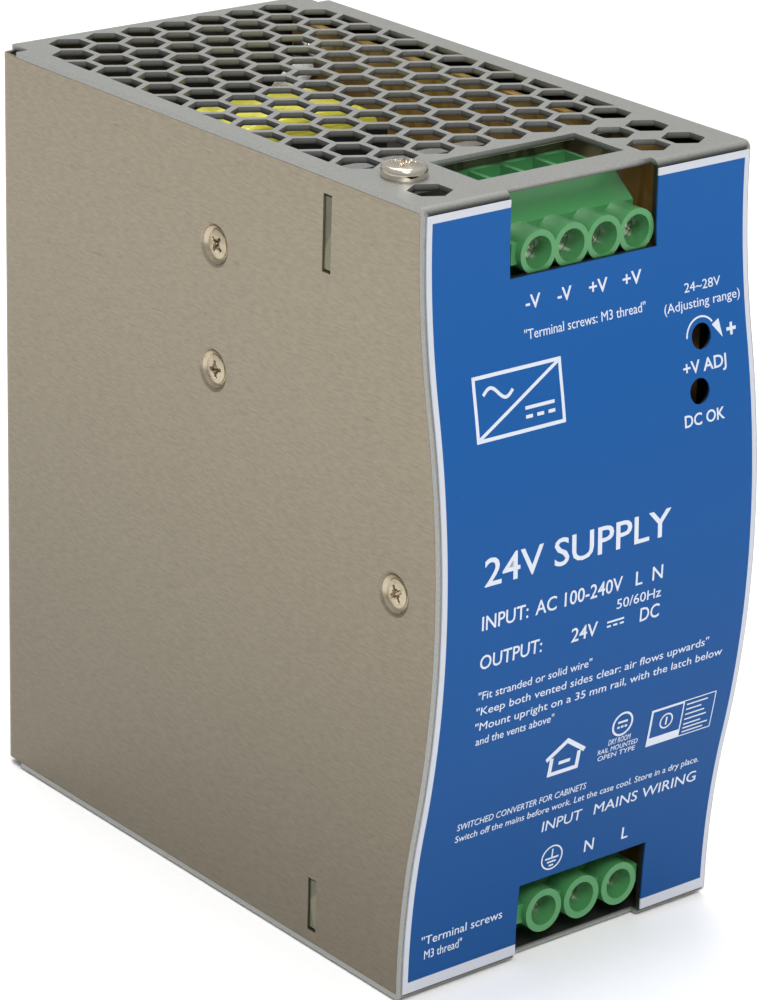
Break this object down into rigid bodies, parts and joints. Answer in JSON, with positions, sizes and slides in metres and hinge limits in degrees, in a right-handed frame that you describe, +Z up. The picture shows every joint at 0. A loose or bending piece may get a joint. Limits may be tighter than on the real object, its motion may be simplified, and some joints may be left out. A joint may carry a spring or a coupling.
{
  "type": "din rail power supply",
  "caption": "Enclosed switching power supply in a vented steel case with a swelling front, green screw terminals and a sprung clip for a 35 mm rail.",
  "frame": {"origin": "middle of the bracket's seat, on the centre line of the rail", "axes": "+Z up along the case's height, +Y back into the rail, so the front looks along -Y, and +X to the right as seen from the front"},
  "size_m": [0.063, 0.1182, 0.1275],
  "materials": {
    "cover_steel": "matt zinc-coated sheet steel, fine speckle",
    "chassis_steel": "sheet steel with a fine grain from front to back, satin",
    "label_film": "printed film, satin",
    "nickel_screw": "nickel plate",
    "panel_screw": "yellowish nickel plate",
    "insulating_film": "black film",
    "brass_spacer": "turned",
    "circuit_board": "paper laminate with print",
    "terminal_plastic": "moulded, satin",
    "tinned_contact": "tinned",
    "terminal_screw_metal": "nickel plate",
    "clamp_metal": "nickel plate",
    "trimmer_plastic": "moulded",
    "rotor_plastic": "moulded",
    "lamp_lens": "diffused lens",
    "ferrite": "pressed and ground",
    "black_plastic": "moulded",
    "winding_tape": "polyester tape over wire",
    "coated_core": "epoxy coated",
    "copper_wire": "enamelled copper",
    "capacitor_sleeve": "shrunk sleeve",
    "grey_capacitor": "moulded box",
    "blue_disc": "dipped coating",
    "fuse_glass": "ceramic tube with metal caps",
    "package_plastic": "moulded",
    "heatsink_metal": "extruded and sawn",
    "sleeve": "woven glass sleeve",
    "zinc_bracket": "bright zinc plate",
    "latch_steel": "zinc-plated spring steel",
    "spring_steel": "drawn wire"
  },
  "bodies": {
    "case": {"vented_cover": "cover_steel", "chassis": "chassis_steel", "front_label": "label_film", "cover_screws": "nickel_screw", "left_screws": "panel_screw", "right_screws": "panel_screw", "insulating_sheet": "insulating_film", "board_spacers": "brass_spacer", "board_screws": "nickel_screw", "main_board": "circuit_board", "front_board": "circuit_board", "output_terminal_housing": "terminal_plastic", "input_terminal_housing": "terminal_plastic", "output_contacts": "tinned_contact", "input_contacts": "tinned_contact", "trimmer_body": "trimmer_plastic", "indicator_led": "lamp_lens", "transformer_core": "ferrite", "transformer_bobbin": "black_plastic", "transformer_winding": "winding_tape", "boost_choke_core": "ferrite", "boost_choke_winding": "winding_tape", "line_choke_core": "coated_core", "line_choke_windings": "copper_wire", "output_choke": "coated_core", "bulk_capacitor": "capacitor_sleeve", "output_capacitors": "capacitor_sleeve", "line_capacitors": "grey_capacitor", "disc_capacitors": "blue_disc", "surge_discs": "blue_disc", "line_fuse": "fuse_glass", "bridge_rectifier": "package_plastic", "output_heatsink": "heatsink_metal", "input_heatsink": "heatsink_metal", "output_rectifiers": "package_plastic", "power_transistors": "package_plastic", "package_screws": "nickel_screw", "control_chips": "package_plastic", "lead_sleeve": "sleeve", "earth_strap": "tinned_contact", "rail_bracket": "zinc_bracket", "bracket_rivets": "nickel_screw", "latch_spring": "spring_steel"},
    "output_screw_1": {"output_screw_1": "terminal_screw_metal"},
    "output_clamp_1": {"output_clamp_1": "clamp_metal"},
    "output_screw_2": {"output_screw_2": "terminal_screw_metal"},
    "output_clamp_2": {"output_clamp_2": "clamp_metal"},
    "output_screw_3": {"output_screw_3": "terminal_screw_metal"},
    "output_clamp_3": {"output_clamp_3": "clamp_metal"},
    "output_screw_4": {"output_screw_4": "terminal_screw_metal"},
    "output_clamp_4": {"output_clamp_4": "clamp_metal"},
    "input_screw_1": {"input_screw_1": "terminal_screw_metal"},
    "input_clamp_1": {"input_clamp_1": "clamp_metal"},
    "input_screw_2": {"input_screw_2": "terminal_screw_metal"},
    "input_clamp_2": {"input_clamp_2": "clamp_metal"},
    "input_screw_3": {"input_screw_3": "terminal_screw_metal"},
    "input_clamp_3": {"input_clamp_3": "clamp_metal"},
    "adjuster": {"trimmer_rotor": "rotor_plastic"},
    "rail_latch": {"rail_latch": "latch_steel"}
  },
  "joints": [
    {"name": "latch_slide", "type": "slide", "parent": "case", "child": "rail_latch", "axis": [0, 0, -1], "range_m": [0, 0.005], "stiffness_N_per_m": 900, "springref_m": -0.002, "deforming": ["latch_spring"]},
    {"name": "adjuster_turn", "type": "hinge", "parent": "case", "child": "adjuster", "pos_m": [0.021, -0.1045, 0.0346], "axis": [0, 1, 0], "range_deg": [-130, 130]},
    {"name": "output_screw_1_turn", "type": "hinge", "parent": "case", "child": "output_screw_1", "pos_m": [-0.0097, -0.1035, 0.0524], "axis": [0, 1, 0], "range_deg": [0, 2520]},
    {"name": "output_clamp_1_slide", "type": "slide", "parent": "case", "child": "output_clamp_1", "axis": [0, -1, 0], "range_m": [0, 0.0035]},
    {"name": "output_screw_2_turn", "type": "hinge", "parent": "case", "child": "output_screw_2", "pos_m": [-0.00335, -0.1035, 0.0524], "axis": [0, 1, 0], "range_deg": [0, 2520]},
    {"name": "output_clamp_2_slide", "type": "slide", "parent": "case", "child": "output_clamp_2", "axis": [0, -1, 0], "range_m": [0, 0.0035]},
    {"name": "output_screw_3_turn", "type": "hinge", "parent": "case", "child": "output_screw_3", "pos_m": [0.003, -0.1035, 0.0524], "axis": [0, 1, 0], "range_deg": [0, 2520]},
    {"name": "output_clamp_3_slide", "type": "slide", "parent": "case", "child": "output_clamp_3", "axis": [0, -1, 0], "range_m": [0, 0.0035]},
    {"name": "output_screw_4_turn", "type": "hinge", "parent": "case", "child": "output_screw_4", "pos_m": [0.00935, -0.1035, 0.0524], "axis": [0, 1, 0], "range_deg": [0, 2520]},
    {"name": "output_clamp_4_slide", "type": "slide", "parent": "case", "child": "output_clamp_4", "axis": [0, -1, 0], "range_m": [0, 0.0035]},
    {"name": "input_screw_1_turn", "type": "hinge", "parent": "case", "child": "input_screw_1", "pos_m": [-0.0028, -0.1035, -0.0557], "axis": [0, 1, 0], "range_deg": [0, 2520]},
    {"name": "input_clamp_1_slide", "type": "slide", "parent": "case", "child": "input_clamp_1", "axis": [0, -1, 0], "range_m": [0, 0.0035]},
    {"name": "input_screw_2_turn", "type": "hinge", "parent": "case", "child": "input_screw_2", "pos_m": [0.005, -0.1035, -0.0557], "axis": [0, 1, 0], "range_deg": [0, 2520]},
    {"name": "input_clamp_2_slide", "type": "slide", "parent": "case", "child": "input_clamp_2", "axis": [0, -1, 0], "range_m": [0, 0.0035]},
    {"name": "input_screw_3_turn", "type": "hinge", "parent": "case", "child": "input_screw_3", "pos_m": [0.0128, -0.1035, -0.0557], "axis": [0, 1, 0], "range_deg": [0, 2520]},
    {"name": "input_clamp_3_slide", "type": "slide", "parent": "case", "child": "input_clamp_3", "axis": [0, -1, 0], "range_m": [0, 0.0035]}
  ],
  "couplings": [
    {"joint": "output_screw_1_turn", "follows": "output_clamp_1_slide", "rad_per_m": 12566},
    {"joint": "output_screw_2_turn", "follows": "output_clamp_2_slide", "rad_per_m": 12566},
    {"joint": "output_screw_3_turn", "follows": "output_clamp_3_slide", "rad_per_m": 12566},
    {"joint": "output_screw_4_turn", "follows": "output_clamp_4_slide", "rad_per_m": 12566},
    {"joint": "input_screw_1_turn", "follows": "input_clamp_1_slide", "rad_per_m": 12566},
    {"joint": "input_screw_2_turn", "follows": "input_clamp_2_slide", "rad_per_m": 12566},
    {"joint": "input_screw_3_turn", "follows": "input_clamp_3_slide", "rad_per_m": 12566}
  ]
}
